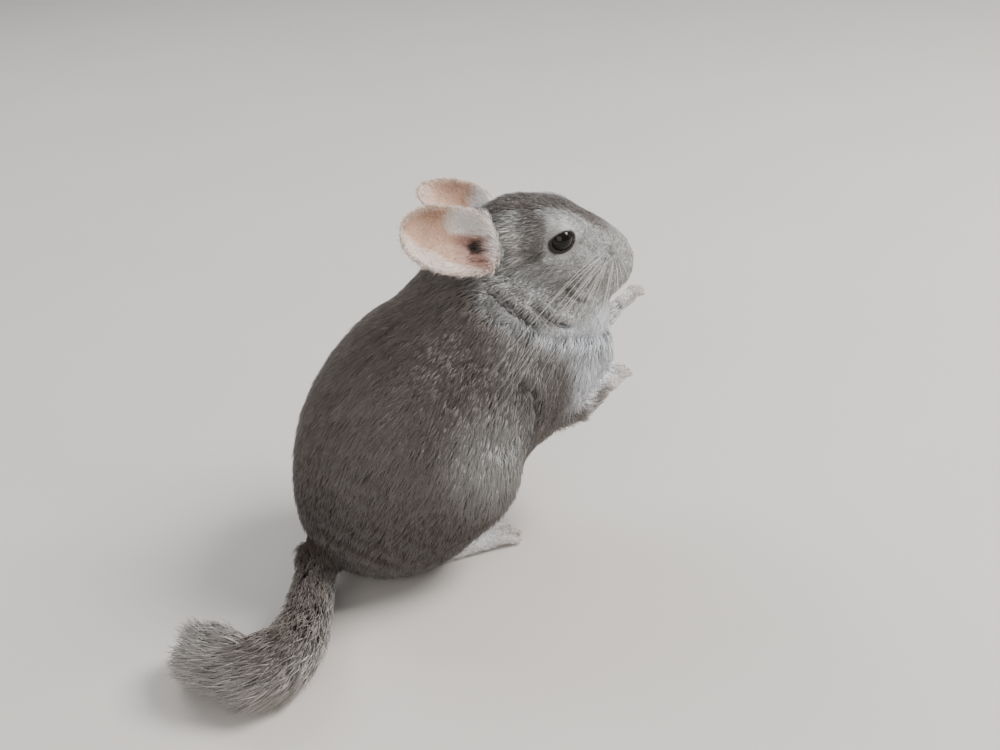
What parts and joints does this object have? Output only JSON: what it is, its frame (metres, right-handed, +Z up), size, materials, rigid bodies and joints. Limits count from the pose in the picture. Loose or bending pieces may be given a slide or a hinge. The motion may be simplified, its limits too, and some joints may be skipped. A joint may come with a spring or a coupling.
{
  "type": "chinchilla",
  "caption": "Life-size still model of a grey domestic chinchilla sitting up on its hind feet, forepaws raised, large round ears laid back and bushy tail curled on the floor",
  "frame": {"origin": "centre of the ground that the figure covers, at floor level", "axes": "+X towards the front of the body, +Y to the animal's left, +Z up"},
  "size_m": [0.2828, 0.1586, 0.1993],
  "materials": {
    "coat": "dense velvety grey-brown fur, pale on the chin and chest, darker on the rump",
    "bare_skin": "thin pinkish skin of ears, toes and nose with very short pale hair",
    "eye": "wet black, mirror smooth",
    "claw": "short blunt horn claws, slightly translucent",
    "whisker": "long stiff white hairs"
  },
  "bodies": {
    "root": {"head": "coat", "neck": "coat", "torso": "coat", "hind_leg_right": "coat", "hind_leg_left": "coat", "foreleg_right": "coat", "foreleg_left": "coat", "tail_base": "coat", "tail_middle": "coat", "tail_tip": "coat", "hind_foot_right": "bare_skin", "hind_foot_left": "bare_skin", "forepaw_right": "bare_skin", "forepaw_left": "bare_skin", "ear_right": "bare_skin", "ear_left": "bare_skin", "eye_right": "eye", "eye_left": "eye"}
  },
  "joints": []
}
